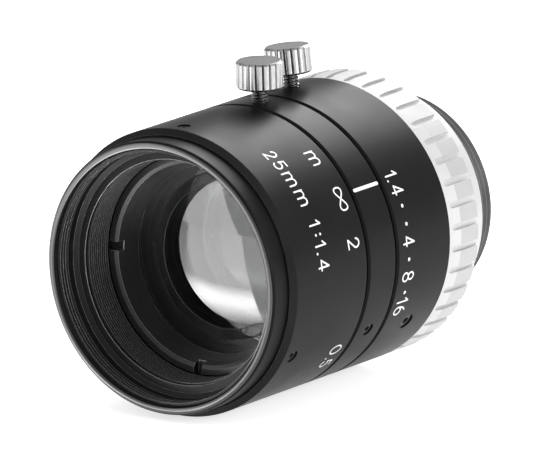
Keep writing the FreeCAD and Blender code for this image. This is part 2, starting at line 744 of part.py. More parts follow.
def guide_screw():
    """Grub screw whose dog slides in the groove of the iris tube and keeps it from turning."""
    screw = grub_screw(grub_radius, grub_socket, carrier_bore, focus_lock_place, guide_angle)
    dog = radial_cylinder(guide_dog_radius, carrier_radius - guide_groove_depth + stud_play,
                          carrier_bore, focus_lock_place, guide_angle)
    return screw.fuse(dog)


def iris_ring():
    """Plain grip ring that turns between the index band and the mount ring."""
    ring = turned([
        (iris_ring_bore, iris_front), (barrel_radius - ring_bevel, iris_front),
        (barrel_radius, iris_front + ring_bevel), (barrel_radius, iris_rear),
        (iris_ring_bore, iris_rear)])
    inner = iris_ring_bore - overcut
    outer = barrel_radius + overcut
    holes = [radial_cylinder(lock_radius + lock_play, inner, outer, iris_lock_place, iris_lock_angle),
             radial_cylinder(drive_radius + fit, inner, outer, iris_lock_place, drive_angle)]
    return ring.cut(Part.makeCompound(holes))


def iris_drive_screw():
    """Grub screw with a long dog that reaches through the barrel into the cam ring."""
    screw = grub_screw(drive_radius, drive_socket, iris_ring_bore, iris_lock_place, drive_angle)
    dog = radial_cylinder(drive_dog_radius, iris_room_radius - running - drive_dog_depth, iris_ring_bore,
                          iris_lock_place, drive_angle)
    return screw.fuse(dog)


# Mount
def mount_ring():
    """Bright ring with a slotted grip, whose rear face is the flange."""
    spigot_bore = barrel_spigot_radius + fit
    sleeve_hole = mount_sleeve_radius + fit
    counterbore = mount_thread_radius + mount_counterbore_gap
    ring = turned([
        (spigot_bore, mount_front), (barrel_radius - mount_cone_drop, mount_front),
        (barrel_radius, mount_front + mount_cone_length), (barrel_radius, grip_rear - edge_bevel),
        (barrel_radius - edge_bevel, grip_rear),
        (flange_radius + rear_slope_width, grip_rear + rear_slope_lead),
        (flange_radius, -flange_boss_length), (flange_radius, -edge_bevel), (flange_radius - edge_bevel, 0),
        (counterbore, 0), (counterbore, -mount_counterbore_depth), (sleeve_hole, -mount_counterbore_depth),
        (sleeve_hole, mount_sleeve_front), (spigot_bore, barrel_rear)])
    half = grip_slot_width / 2
    start = mount_front + mount_cone_length - grip_slot_lead + half
    floor = barrel_radius - grip_slot_depth
    height = grip_slot_depth + overcut
    slot = Part.makeBox(grip_slot_width, grip_rear - start + overcut, height,
                        FreeCAD.Vector(-half, start, floor))
    slot = slot.fuse(radial_cylinder(half, floor, floor + height, start))
    slots = [around(slot, grip_slot_angle + i * 360.0 / grip_slots) for i in range(grip_slots)]
    return ring.cut(Part.makeCompound(slots))


def mount_sleeve():
    """Sleeve screwed in from behind and glued; what stands out is the mount's thread."""
    return turned([
        (mount_sleeve_bore, mount_sleeve_front), (mount_sleeve_radius, mount_sleeve_front),
        (mount_sleeve_radius, 0), (mount_thread_radius, 0),
        (mount_thread_radius, mount_thread_length - mount_thread_bevel),
        (mount_thread_radius - mount_thread_bevel, mount_thread_length),
        (mount_sleeve_bore + edge_bevel, mount_thread_length),
        (mount_sleeve_bore, mount_thread_length - edge_bevel)])


# Lock screws
def lock_screw(pad_seat, y, angle):
    """Screw with a straight-knurled head; its tip bears on the pad."""
    tip = pad_seat + lock_pad_gap + lock_pad_thickness
    head_base = barrel_radius + lock_head_gap
    head_top = head_base + lock_head_height
    outline = []
    for i in range(lock_ridges):
        for share, radius in ((-lock_crest_share, lock_head_radius), (lock_crest_share, lock_head_radius),
                              (0.5, lock_head_radius - lock_ridge_depth)):
            turn = 2 * math.pi * (i + share) / lock_ridges
            outline.append(FreeCAD.Vector(radius * math.sin(turn), y + radius * math.cos(turn), head_base))
    head = Part.Face(Part.makePolygon(outline + outline[:1])).extrude(FreeCAD.Vector(0, 0, lock_head_height))
    top_radius = lock_head_radius - lock_head_bevel
    blank = Part.makePolygon([
        FreeCAD.Vector(0, y, head_base), FreeCAD.Vector(top_radius, y, head_base),
        FreeCAD.Vector(lock_head_radius, y, head_base + lock_head_bevel),
        FreeCAD.Vector(lock_head_radius, y, head_top - lock_head_bevel),
        FreeCAD.Vector(top_radius, y, head_top), FreeCAD.Vector(0, y, head_top),
        FreeCAD.Vector(0, y, head_base)])
    blank = Part.Face(blank).revolve(FreeCAD.Vector(0, y, 0), FreeCAD.Vector(0, 0, 1), 360)
    head = head.common(blank)
    shank = radial_cylinder(lock_radius, tip, head_base, y)
    return around(head.fuse(shank), angle)


def lock_pad(pad_seat, y, angle):
    """Soft pad at the tip of a lock screw; its foot is cut to the tube that it presses on."""
    inner = pad_seat + lock_pad_gap
    reach = lock_pad_radius + overcut
    pad = radial_cylinder(lock_pad_radius, inner - overcut, inner + lock_pad_thickness, y)
    return around(pad.cut(axial_cylinder(inner, 2 * reach, 0, y - reach, 0)), angle)


os.makedirs("parts", exist_ok=True)
keep(front_barrel(), "front_barrel")
keep(front_retaining_ring(), "front_retaining_ring")
keep(front_element(), "front_element")
keep(front_spacer(), "front_spacer")
keep(second_element(), "second_element")
keep(third_element(), "third_element")
keep(iris_tube(), "iris_tube")
for number in range(blade_count):
    keep(iris_blade(number), "iris_blade_" + str(number + 1))
keep(iris_cam_ring(), "iris_cam_ring")
keep(rear_cell(), "rear_cell")
keep(rear_doublet_ring(), "rear_doublet_ring")
keep(fourth_element(), "fourth_element")
keep(fifth_element(), "fifth_element")
keep(sixth_element(), "sixth_element")
keep(rear_retaining_ring(), "rear_retaining_ring")
keep(helicoid_sleeve(), "helicoid_sleeve")
keep(sleeve_clip_ring(), "sleeve_clip_ring")
keep(focus_ring(), "focus_ring")
keep(focus_grub_screws(), "focus_grub_screws")
keep(main_barrel(), "main_barrel")
keep(guide_screw(), "guide_screw")
keep(iris_ring(), "iris_ring")
keep(iris_drive_screw(), "iris_drive_screw")
keep(mount_ring(), "mount_ring")
keep(mount_sleeve(), "mount_sleeve")
keep(lock_screw(carrier_radius, focus_lock_place, 0.0), "focus_lock_screw")
keep(lock_pad(carrier_radius, focus_lock_place, 0.0), "focus_lock_pad")
keep(lock_screw(iris_seat_radius, iris_lock_place, iris_lock_angle), "iris_lock_screw")
keep(lock_pad(iris_seat_radius, iris_lock_place, iris_lock_angle), "iris_lock_pad")
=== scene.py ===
import math
import bpy
import bmesh
from mathutils import Matrix, Vector


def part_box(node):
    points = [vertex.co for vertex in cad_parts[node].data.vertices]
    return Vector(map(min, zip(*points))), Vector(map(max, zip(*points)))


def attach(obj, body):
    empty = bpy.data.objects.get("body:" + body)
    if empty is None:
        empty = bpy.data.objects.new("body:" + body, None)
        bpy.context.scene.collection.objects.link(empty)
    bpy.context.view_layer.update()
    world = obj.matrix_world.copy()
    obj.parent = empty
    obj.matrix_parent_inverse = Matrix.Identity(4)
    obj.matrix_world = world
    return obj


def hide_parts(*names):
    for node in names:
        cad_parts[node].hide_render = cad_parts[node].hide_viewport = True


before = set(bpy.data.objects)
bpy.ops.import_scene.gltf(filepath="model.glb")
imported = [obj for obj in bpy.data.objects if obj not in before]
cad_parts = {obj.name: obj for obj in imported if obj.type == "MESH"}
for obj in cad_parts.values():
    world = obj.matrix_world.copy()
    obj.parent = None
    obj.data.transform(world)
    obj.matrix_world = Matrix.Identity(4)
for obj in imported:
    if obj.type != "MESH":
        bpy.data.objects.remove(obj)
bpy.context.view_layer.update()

# All sizes below are millimetres in the part's own frame: the axis is Y and the front looks along -Y.
# An angle is in degrees round that axis, from the top towards the +X side.

# Fixed barrel

# One aluminium turning under both rings. It is bead blasted, then black anodised, so it has a fine
# satin grain over faint lathe lines. A white enamel line on its index band marks both scales.
MM = 0.001
barrel_radius = 17.2
anodised_patch = 6.0
anodised_lathe_pitch = 0.16
anodised_lathe_depth = 0.0012
anodised_grain = 0.05
anodised_grain_depth = 0.004
anodised_edge = 0.10
bevel_samples = 6
sharp_angle = 35.0
index_angle = 60.1
index_ends = (-27.1, -22.6)
index_width = 0.43
stroke_step = 0.25
stroke_tip_steps = 4
stroke_tip_reach = 0.01
enamel_rise = 0.014
enamel_sink = 0.02
enamel_levels = 5
enamel_level_step = 0.001
enamel_white = (0.86, 0.86, 0.85)
enamel_dirty = (0.80, 0.80, 0.79)
enamel_clean = (0.90, 0.90, 0.89)
enamel_cloud = 0.5
enamel_grain = 0.08
enamel_grain_depth = 0.004


def new_finish(name, colour, roughness, metallic=0.0, specular=0.5):
    """New material, with its even values on the shader's own sockets and its patterns fixed to the lens."""
    material = bpy.data.materials.new(name)
    material.use_nodes = True
    tree = material.node_tree
    shader = tree.nodes["Principled BSDF"]
    shader.inputs["Base Color"].default_value = (*colour, 1.0)
    shader.inputs["Roughness"].default_value = roughness
    shader.inputs["Metallic"].default_value = metallic
    shader.inputs["Specular IOR Level"].default_value = specular
    place = tree.nodes.new("ShaderNodeTexCoord").outputs["Object"]
    return material, tree, shader, place


def speckle(tree, place, size):
    """Cloudy pattern whose spots are about so many millimetres across."""
    noise = tree.nodes.new("ShaderNodeTexNoise")
    noise.inputs["Scale"].default_value = 1.0 / (size * MM)
    noise.inputs["Detail"].default_value = 2.0
    tree.links.new(place, noise.inputs["Vector"])
    return noise.outputs["Fac"]


def lathe_lines(tree, place, pitch):
    """Fine grooves round the axis that a lathe tool leaves, one every pitch."""
    wave = tree.nodes.new("ShaderNodeTexWave")
    wave.wave_type = "BANDS"
    wave.bands_direction = "Y"
    wave.inputs["Scale"].default_value = 2 * math.pi / (20 * pitch * MM)
    wave.inputs["Distortion"].default_value = 0.5
    wave.inputs["Detail Scale"].default_value = 0.4
    tree.links.new(place, wave.inputs["Vector"])
    return wave.outputs["Fac"]


def spread(tree, pattern, low, high):
    """The pattern's middle range stretched between two values."""
    reach = tree.nodes.new("ShaderNodeMapRange")
    reach.inputs["From Min"].default_value = 0.3
    reach.inputs["From Max"].default_value = 0.7
    reach.inputs["To Min"].default_value = low
    reach.inputs["To Max"].default_value = high
    tree.links.new(pattern, reach.inputs["Value"])
    return reach.outputs["Result"]


def two_tones(tree, pattern, first, second):
    """Colour that runs between two tones with a pattern."""
    ramp = tree.nodes.new("ShaderNodeValToRGB")
    ramp.color_ramp.elements[0].position = 0.35
    ramp.color_ramp.elements[0].color = (*first, 1.0)
    ramp.color_ramp.elements[1].position = 0.65
    ramp.color_ramp.elements[1].color = (*second, 1.0)
    tree.links.new(pattern, ramp.inputs["Fac"])
    return ramp.outputs["Color"]


def rounded(tree, width):
    """The surface's direction where its sharp edges are rounded by so many millimetres."""
    bevel = tree.nodes.new("ShaderNodeBevel")
    bevel.samples = bevel_samples
    bevel.inputs["Radius"].default_value = width * MM
    return bevel.outputs["Normal"]


def edges(tree, width):
    """1 along sharp edges, so many millimetres wide, and 0 on the open surface."""
    turn = tree.nodes.new("ShaderNodeVectorMath")
    turn.operation = "DOT_PRODUCT"
    tree.links.new(rounded(tree, width), turn.inputs[0])
    tree.links.new(tree.nodes.new("ShaderNodeNewGeometry").outputs["Normal"], turn.inputs[1])
    edge = tree.nodes.new("ShaderNodeMapRange")
    edge.inputs["From Min"].default_value = 0.97
    edge.inputs["From Max"].default_value = 0.80
    tree.links.new(turn.outputs["Value"], edge.inputs["Value"])
    return edge.outputs["Result"]


def mixed(tree, share, colour, tone):
    """A pattern's colour that gives way to one tone by a share."""
    blend = tree.nodes.new("ShaderNodeMix")
    blend.data_type = "RGBA"
    tree.links.new(share, blend.inputs["Factor"])
    tree.links.new(colour, blend.inputs["A"])
    blend.inputs["B"].default_value = (*tone, 1.0)
    return blend.outputs["Result"]


def relief(tree, shader, patterns, edge=0.0):
    """Bumps the surface by (pattern, depth in mm) pairs, over edges that are rounded by edge mm."""
    normal = rounded(tree, edge) if edge else None
    for pattern, depth in patterns:
        bump = tree.nodes.new("ShaderNodeBump")
        bump.inputs["Distance"].default_value = depth * MM
        tree.links.new(pattern, bump.inputs["Height"])
        if normal:
            tree.links.new(normal, bump.inputs["Normal"])
        normal = bump.outputs["Normal"]
    tree.links.new(normal, shader.inputs["Normal"])


def black_anodise(name, tone=0.005, roughness=0.38, specular=0.085, wear_and_highlight_tone=0.35):
    """Satin black: oxide over a blasted turning, a little paler in patches, and paler and metallic along
    its edges, which is partly wear and partly a painted highlight.

    An edge tone of 0 leaves the edges without wear or painted highlight.
    """
    material, tree, shader, place = new_finish(name, (tone,) * 3, roughness, specular=specular)
    patches = speckle(tree, place, anodised_patch)
    cloudy = two_tones(tree, patches, (tone * 0.88,) * 3, (tone * 1.15,) * 3)
    # Paler, metallic edges: partly worn oxide, partly a painted highlight that draws bright edge lines.
    if wear_and_highlight_tone:
        worn = edges(tree, anodised_edge)
        tree.links.new(mixed(tree, worn, cloudy, (wear_and_highlight_tone,) * 3), shader.inputs["Base Color"])
        tree.links.new(worn, shader.inputs["Metallic"])
    else:
        tree.links.new(cloudy, shader.inputs["Base Color"])
    tree.links.new(spread(tree, patches, roughness - 0.03, roughness + 0.04), shader.inputs["Roughness"])
    relief(tree, shader, [(lathe_lines(tree, place, anodised_lathe_pitch), anodised_lathe_depth),
                          (speckle(tree, place, anodised_grain), anodised_grain_depth)], anodised_edge)
    return material


def dress(name, *materials, choose=None):
    """Gives a CAD node its finish, or one of several that is chosen by a face's radius, place and tilt.

    The tilt is 1 where a face looks straight out from the axis, 0 where it looks along it and -1 inwards.
    """
    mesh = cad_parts[name].data
    mesh.materials.clear()
    for material in materials:
        mesh.materials.append(material)
    if choose:
        for face in mesh.polygons:
            x, y, z = face.center / MM
            radius = math.hypot(x, z)
            face.material_index = choose(radius, y, (face.normal.x * x + face.normal.z * z) / radius)


def new_piece(name, corners, faces, material, body):
    """Mesh piece in the part's frame from corners in millimetres; it moves with a CAD body."""
    mesh = bpy.data.meshes.new(name)
    build = bmesh.new()
    made = [build.verts.new(Vector(corner) * MM) for corner in corners]
    for face in faces:
        if len(set(face)) > 2:
            build.faces.new([made[i] for i in dict.fromkeys(face)])
    bmesh.ops.remove_doubles(build, verts=build.verts, dist=1e-8)
    bmesh.ops.recalc_face_normals(build, faces=build.faces)
    build.to_mesh(mesh)
    build.free()
    mesh.shade_smooth()
    mesh.set_sharp_from_angle(angle=math.radians(sharp_angle))
    mesh.materials.append(material)
    piece = bpy.data.objects.new(name, mesh)
    bpy.context.scene.collection.objects.link(piece)
    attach(piece, body)
    return piece


def on_ring(radius, y, angle):
    """Point at a distance from the axis."""
    turn = math.radians(angle)
    return (radius * math.sin(turn), y, radius * math.cos(turn))


def stroke_tip(end, outward, half):
    """(centre, half width) pairs of a stroke's round end, from its tip back to its full width."""
    turns = [math.pi / 2 * k / stroke_tip_steps for k in range(stroke_tip_steps + 1)]
    return [(end + outward * half * math.cos(turn), max(half * math.sin(turn), stroke_tip_reach))
            for turn in turns]


def stroke(line, width, corners, faces):
    """Adds one engraved stroke, filled with enamel, along (angle, y) points: a ribbon with round ends.

    Strokes that cross stand at slightly different heights, so no two faces lie in one place.
    """
    degree = math.radians(1.0) * barrel_radius
    flat = [Vector((angle * degree, y)) for angle, y in line]
    path = []
    for start, end in zip(flat, flat[1:]):
        steps = max(1, math.ceil((end - start).length / stroke_step))
        path += [start.lerp(end, k / steps) for k in range(steps)]
    path.append(flat[-1])
    half = width / 2
    ahead = (path[1] - path[0]).normalized()
    ribs = [(centre, ahead, reach) for centre, reach in stroke_tip(path[0], -ahead, half)]
    for before, centre, after in zip(path, path[1:], path[2:]):
        ribs.append((centre, (after - before).normalized(), half))
    ahead = (path[-1] - path[-2]).normalized()
    ribs += [(centre, ahead, reach) for centre, reach in reversed(stroke_tip(path[-1], ahead, half))]
    bottom = barrel_radius - enamel_sink
    top = barrel_radius + enamel_rise + enamel_level_step * (len(faces) % enamel_levels)
    section = ((-1, bottom), (-1, top), (1, top), (1, bottom))
    rows = len(section)
    first = len(corners)
    for centre, ahead, reach in ribs:
        across = Vector((-ahead.y, ahead.x)) * reach
        for side, level in section:
            spot = centre + across * side
            corners.append(on_ring(level, spot.y, spot.x / degree))
    for k in range(len(ribs) - 1):
        here = first + rows * k
        for i in range(rows):
            after = (i + 1) % rows
            faces.append((here + i, here + after, here + rows + after, here + rows + i))
    last = first + rows * (len(ribs) - 1)
    faces.append(tuple(first + i for i in range(rows)))
    faces.append(tuple(last + i for i in range(rows)))


def enamel():
    """White paint rubbed into the engraving: dull, with a little dirt and grain."""
    material, tree, shader, place = new_finish("white enamel", enamel_white, 0.5)
    dirt = two_tones(tree, speckle(tree, place, enamel_cloud), enamel_dirty, enamel_clean)
    tree.links.new(dirt, shader.inputs["Base Color"])
    relief(tree, shader, [(speckle(tree, place, enamel_grain), enamel_grain_depth)])
    return material


barrel_black = black_anodise("barrel black", wear_and_highlight_tone=0.0)
white_enamel = enamel()


def enamel_marks(name, strokes, body):
    """Piece of white enamel that fills engraved strokes, each its (angle, y) points and its width."""
    corners = []
    faces = []
    for line, width in strokes:
        stroke(line, width, corners, faces)
    new_piece(name, corners, faces, white_enamel, body)


dress("main_barrel", barrel_black)
enamel_marks("index_line", [([(index_angle, y) for y in index_ends], index_width)], "fixed_barrel")

# Guide screw

# Small steel grub screw in the index band, oil blackened, with a hexagon socket. It was screwed in
# from outside until its dog ran in the groove of the sliding tube.
steel_black = (0.03, 0.03, 0.032)
steel_dark = (0.022, 0.022, 0.025)
steel_worn = (0.045, 0.045, 0.047)
steel_spot = 0.35
steel_grain = 0.06
steel_grain_depth = 0.003
steel_edge = 0.05


def blackened(name, roughness=0.36):
    """Oil-blackened steel: nearly black, with a bluish sheen and worn, paler spots."""
    material, tree, shader, place = new_finish(name, steel_black, roughness, metallic=0.6)
    spots = speckle(tree, place, steel_spot)
    tree.links.new(two_tones(tree, spots, steel_dark, steel_worn), shader.inputs["Base Color"])
    tree.links.new(spread(tree, spots, roughness - 0.06, roughness + 0.08), shader.inputs["Roughness"])
    relief(tree, shader, [(speckle(tree, place, steel_grain), steel_grain_depth)], steel_edge)
    return material


screw_black = blackened("screw black")
dress("guide_screw", screw_black)

# Iris ring

# Aluminium grip ring behind the index band, turned, blasted and black anodised. The f-numbers and
# dots are engraved and filled with white enamel, and one larger grub screw drives the iris.
scale_width = 0.21
dot_reach = 0.03
point_lift = 0.06
point_width = 1.25
arc_step = 20.0
arc_least_steps = 4
iris_row = (-20.62, -18.30)
iris_marks = [("1", 57.2, 59.5), (".", 60.9, 60.9), ("4", 63.0, 67.3), ("4", 83.7, 88.0),
              ("8", 98.2, 102.4), ("1", 109.6, 111.8), ("6", 113.2, 117.4)]
iris_dot_row = -19.52
iris_dot_width = 0.43
iris_dots = [71.7, 79.0, 93.2, 107.1]


def bow(x, y, wide, high, start, end):
    """Points of an arc in a letter's box, from one angle to another, where 90 degrees is up."""
    steps = max(arc_least_steps, math.ceil(abs(end - start) / arc_step))
    turns = [math.radians(start + (end - start) * k / steps) for k in range(steps + 1)]
    return [(x + wide * math.cos(turn), y + high * math.sin(turn)) for turn in turns]


# The strokes of each letter, in a box that is 1 wide and 1 high; far is the sign for far away.
letters = {
    "0": [bow(0.5, 0.5, 0.5, 0.5, 90, 450)],
    "1": [[(0.0, 0.74), (0.85, 1.0)], [(0.85, 1.0), (0.85, 0.0)]],
    "2": [bow(0.5, 0.70, 0.48, 0.30, 170, -25) + [(0.0, 0.0)], [(0.0, 0.0), (1.0, 0.0)]],
    "3": [bow(0.45, 0.76, 0.45, 0.24, 150, -90), bow(0.45, 0.26, 0.5, 0.26, 90, -150)],
    "4": [[(0.72, 0.0), (0.72, 1.0)], [(0.72, 1.0), (0.0, 0.28)], [(0.0, 0.28), (1.0, 0.28)]],
    "5": [[(0.9, 1.0), (0.2, 1.0)], [(0.2, 1.0), (0.08, 0.55)], bow(0.47, 0.32, 0.5, 0.32, 140, -150)],
    "6": [bow(0.5, 0.29, 0.48, 0.29, 90, 450), bow(0.85, 0.34, 0.83, 0.66, 182, 110)],
    "8": [bow(0.5, 0.26, 0.5, 0.26, 90, 450), bow(0.5, 0.76, 0.42, 0.24, -90, 270)],
    "m": [[(0.0, 0.0), (0.0, 1.0)], bow(0.25, 0.6, 0.25, 0.4, 180, 0) + [(0.5, 0.0)],
          bow(0.75, 0.6, 0.25, 0.4, 180, 0) + [(1.0, 0.0)]],
    "far": [[(0.5 + 0.5 * math.sin(math.radians(t)), 0.5 + 0.5 * math.sin(math.radians(2 * t)))
             for t in range(0, 361, 12)]],
}


def dot(angle, y, width):
    """Stroke that is so short that its two round ends make one dot."""
    return [(angle - dot_reach, y), (angle + dot_reach, y)], width


def engrave(marks, row, width=scale_width):
    """Strokes of (letter, first angle, last angle) marks between the two ends of a row along the axis."""
    low = row[0] + width / 2
    high = row[1] - width / 2
    inset = math.degrees(width / 2 / barrel_radius)
    strokes = []
    for letter, start, end in marks:
        if letter == ".":
            strokes.append(dot(start, low + point_lift, width * point_width))
            continue
        left = start + inset
        right = end - inset
        for line in letters[letter]:
            strokes.append(([(left + x * (right - left), low + y * (high - low)) for x, y in line], width))
    return strokes


dress("iris_ring", barrel_black)
dress("iris_drive_screw", screw_black)
iris_strokes = engrave(iris_marks, iris_row)
iris_strokes += [dot(angle, iris_dot_row, iris_dot_width) for angle in iris_dots]
enamel_marks("iris_scale", iris_strokes, "iris_ring")

# Focus ring

# Plain aluminium grip sleeve with a broad front bevel, finished as the iris ring is. It carries the
# lens's focal length and aperture, and the distance scale. Three grub screws clamp it underneath.
focus_face = -42.6
focus_bevel_end = -42.0
focus_bevel_tilt = (0.5, 0.9)
focus_bevel_light_tone = 0.014
size_row = (-37.65, -35.48)
size_marks = [("2", 32.9, 36.6), ("5", 38.3, 42.4), ("1", 65.8, 68.2), ("1", 74.2, 76.6),
              ("4", 81.3, 86.0)]
size_small_row = (-37.65, -36.00)
size_small_marks = [("m", 44.1, 50.7), ("m", 52.7, 59.4)]
size_dots = [(71.7, -36.95), (71.7, -36.10), (78.8, -37.46)]
size_dot_width = 0.3
distance_row = (-31.40, -29.15)
distance_marks = [("2", 77.3, 81.6), ("0", 123.0, 128.0), (".", 129.7, 129.7), ("5", 131.3, 135.6),
                  ("0", 172.0, 177.0), (".", 178.7, 178.7), ("3", 180.3, 184.4)]
unit_row = (-31.42, -29.72)
unit_marks = [("m", 38.6, 45.5)]
far_row = (-30.88, -29.36)
far_marks = [("far", 56.3, 66.4)]
far_width = 0.2


def focus_finish(radius, y, tilt):
    """1 on the narrow front face, whose edges are paler from wear and a painted highlight, 2 on the bevel,
    whose black is painted paler as painted light, and 0 elsewhere.
    """
    if y < focus_face:
        return 1
    if y < focus_bevel_end and focus_bevel_tilt[0] < tilt < focus_bevel_tilt[1]:
        return 2
    return 0


# The bevel's black is paler than the ring's: painted light for the light the bevel catches.
dress("focus_ring", barrel_black, black_anodise("worn black with painted highlight"),
      black_anodise("bevel black with painted light", tone=focus_bevel_light_tone, wear_and_highlight_tone=0.0), choose=focus_finish)
dress("focus_grub_screws", screw_black)
focus_strokes = engrave(size_marks, size_row)
focus_strokes += engrave(size_small_marks, size_small_row)
focus_strokes += engrave(distance_marks, distance_row)
focus_strokes += engrave(unit_marks, unit_row)
focus_strokes += engrave(far_marks, far_row, far_width)
focus_strokes += [dot(angle, y, size_dot_width) for angle, y in size_dots]
enamel_marks("focus_scale", focus_strokes, "focus_ring")

# Mount ring

# Bright aluminium ring with forty milled grip slots. Its rear face is the flange that seats on the
# camera. It is clear anodised over a fine turned surface, so it stays pale and satin.
grip_ends = (-10.3, -4.95)
grip_land = -8.9
grip_floor = 16.9
grip_crest = 17.1
grip_crest_tilt = 0.9
grip_land_shade_tone = 0.48
grip_slot_light_tone = 0.58
clear_patch = 2.5
clear_lathe_pitch = 0.13
clear_lathe_depth = 0.004
clear_grain = 0.05
clear_grain_depth = 0.003
clear_edge = 0.08


def clear_anodise(name, tone=0.57, roughness=0.68):
    """Clear anodised aluminium: pale metal with lathe lines and a soft, even sheen."""
    material, tree, shader, place = new_finish(name, (tone,) * 3, roughness, metallic=1.0)
    patches = speckle(tree, place, clear_patch)
    cloudy = two_tones(tree, patches, (tone * 0.96,) * 3, (tone * 1.04,) * 3)
    tree.links.new(cloudy, shader.inputs["Base Color"])
    tree.links.new(spread(tree, patches, roughness - 0.05, roughness + 0.05), shader.inputs["Roughness"])
    relief(tree, shader, [(lathe_lines(tree, place, clear_lathe_pitch), clear_lathe_depth),
                          (speckle(tree, place, clear_grain), clear_grain_depth)], clear_edge)
    return material


def mount_finish(radius, y, tilt):
    """0 for the turned faces, 1 for the rear of the grip's lands, painted darker as painted shade, and 2
    for its milled slots, painted paler than the lands as painted light.
    """
    in_grip = grip_ends[0] < y < grip_ends[1]
    if in_grip and (radius < grip_floor or tilt < grip_crest_tilt):
        return 2
    if in_grip and y > grip_land and radius > grip_crest:
        return 1
    return 0


# One clear anodised finish in three tones: the lands carry painted shade and the slots painted light.
dress("mount_ring", clear_anodise("clear anodised"), clear_anodise("clear anodised land painted shade", grip_land_shade_tone),
      clear_anodise("clear anodised slot painted light", grip_slot_light_tone), choose=mount_finish)

# Mount sleeve

# Black anodised aluminium sleeve, screwed into the mount ring from behind. What stands out of the
# flange is the camera thread, one inch across with 32 turns to the inch, cut on a lathe.
mount_root = 12.22
mount_crest = 12.7
mount_pitch = 0.79375
mount_thread_ends = (0.0, 3.9)
mount_thread_columns = 144
mount_sleeve_profile = [(12.4, 4.2), (11.6, 4.2), (11.3, 3.9), (11.3, -8.0), (12.3, -8.0), (12.3, 0.0)]
thread_form = [0.0, 0.0, 0.5, 1.0, 1.0, 0.5]


def threaded(root, crest, pitch, ends, profile, columns):
    """Corners and faces of a turned ring with a helical thread between two places along the axis.

    The thread's form gives its height over one pitch, from 0 at the root to 1 at the crest. The
    profile's (radius, y) corners lead from the thread's end round the ring's body to its start.
    """
    start, end = ends
    rows = len(thread_form)
    last = (math.ceil((end - start) / pitch) + 2) * rows
    corners = []
    faces = []
    for i in range(columns):
        angle = 360.0 * i / columns
        for j in range(last + 1):
            y = start + pitch * ((j - rows) / rows + i / columns)
            y = min(max(y, start), end)
            phase = ((y - start) / pitch - i / columns) % 1.0 * rows
            low = thread_form[int(phase) % rows]
            high = thread_form[(int(phase) + 1) % rows]
            height = low + (high - low) * (phase - int(phase))
            corners.append(on_ring(root + (crest - root) * height, y, angle))
        corners += [on_ring(radius, y, angle) for radius, y in profile]
    stride = last + 1 + len(profile)
    for i in range(columns):
        here = i * stride
        there = (i + 1) % columns * stride
        step = rows if i == columns - 1 else 0
        for j in range(last):
            beside = min(j + step, last)
            after = min(j + 1 + step, last)
            faces.append((here + j, here + j + 1, there + after, there + beside))
        for j in range(last, stride):
            after = (j + 1) % stride
            faces.append((here + j, here + after, there + after, there + j))
    return corners, faces


mount_mesh = threaded(mount_root, mount_crest, mount_pitch, mount_thread_ends, mount_sleeve_profile,
                      mount_thread_columns)
# The sleeve's black is painted up to a dark grey: painted light that lifts the shade its fine thread casts
# on itself.
lifted_thread_black = black_anodise("thread black painted paler", tone=0.15, roughness=0.9, specular=0.05, wear_and_highlight_tone=0.0)
mount_stub = new_piece("camera_thread", *mount_mesh, lifted_thread_black, "fixed_barrel")
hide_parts("mount_sleeve")

# Front barrel

# The turning that carries the front glass and slides out to focus. The fine filter thread is cut
# inside its rim, and a second fine thread holds the retaining ring. Black anodised inside and out.
filter_root = 15.25
filter_crest = 14.95
filter_pitch = 0.5
filter_ends = (-44.95, -43.7)
retainer_thread_root = 13.5
retainer_thread_crest = 13.3
retainer_thread_pitch = 0.4
retainer_thread_ends = (-41.5, -37.6)
inner_thread_columns = 160
inner_thread_buried = 0.03
rim_lip_end = -45.53
rim_lip_inside = 15.4
bore_radius = 15.3


def rim_finish(radius, y, tilt):
    """1 on the rim's rounded lip, where handling has polished the black, 2 in the bore and 0 elsewhere."""
    if radius < bore_radius:
        return 2
    return int(y < rim_lip_end and radius > rim_lip_inside)


def inner_thread(name, root, crest, pitch, ends):
    """Thread cut in a bore of the front barrel; the back of its mesh lies just inside the wall."""
    profile = [(root + inner_thread_buried, ends[1]), (root + inner_thread_buried, ends[0])]
    thread_mesh = threaded(root, crest, pitch, ends, profile, inner_thread_columns)
    new_piece(name, *thread_mesh, inside_black, "optical_block")


# The inside and outside blacks of the front barrel have paler, metallic edges: partly wear, partly a
# painted highlight.
inside_black = black_anodise("inside black with painted edge highlight", tone=0.011, roughness=0.42, specular=0.14, wear_and_highlight_tone=0.6)
polished_black = black_anodise("polished black", tone=0.008, roughness=0.18, specular=1.0, wear_and_highlight_tone=0.0)
dress("front_barrel", black_anodise("front black with painted edge highlight"), polished_black, inside_black, choose=rim_finish)
inner_thread("filter_thread", filter_root, filter_crest, filter_pitch, filter_ends)
inner_thread("retainer_thread", retainer_thread_root, retainer_thread_crest, retainer_thread_pitch,
             retainer_thread_ends)

# Front retaining ring

# Black anodised aluminium ring with a fine thread round it and four notches for a spanner. It is
# screwed down on the front lens. Its edges are pale, partly worn by the spanner and partly a painted
# highlight.
dress("front_retaining_ring",
      black_anodise("ring black with painted edge highlight", tone=0.02, roughness=0.35, specular=0.3, wear_and_highlight_tone=0.9))

# Front glass and its spacer

# A thick front lens, and behind it two lenses cemented into one. All are ground and polished, with
# a thin coating, and their edges are lapped fine. A black ring keeps the two groups apart.
lens_steps = 14
lens_columns = 128
cement = 0.004
front_curves = (30.0, 90.0)
second_curve = 16.5
third_curve = 10.5
third_rim = 2.2
glass_index = 1.25
glass_tint = (0.76, 0.765, 0.765)
glass_dust = 1.5
coat_tint = (0.97, 0.98, 0.98)
coat_index = 1.75
coat_roughness = 0.01
coated_tilt = -0.6


def sag(curve, radius):
    """How far a ball-shaped face falls back at a distance from the axis."""
    return curve - math.sqrt(curve ** 2 - radius ** 2)


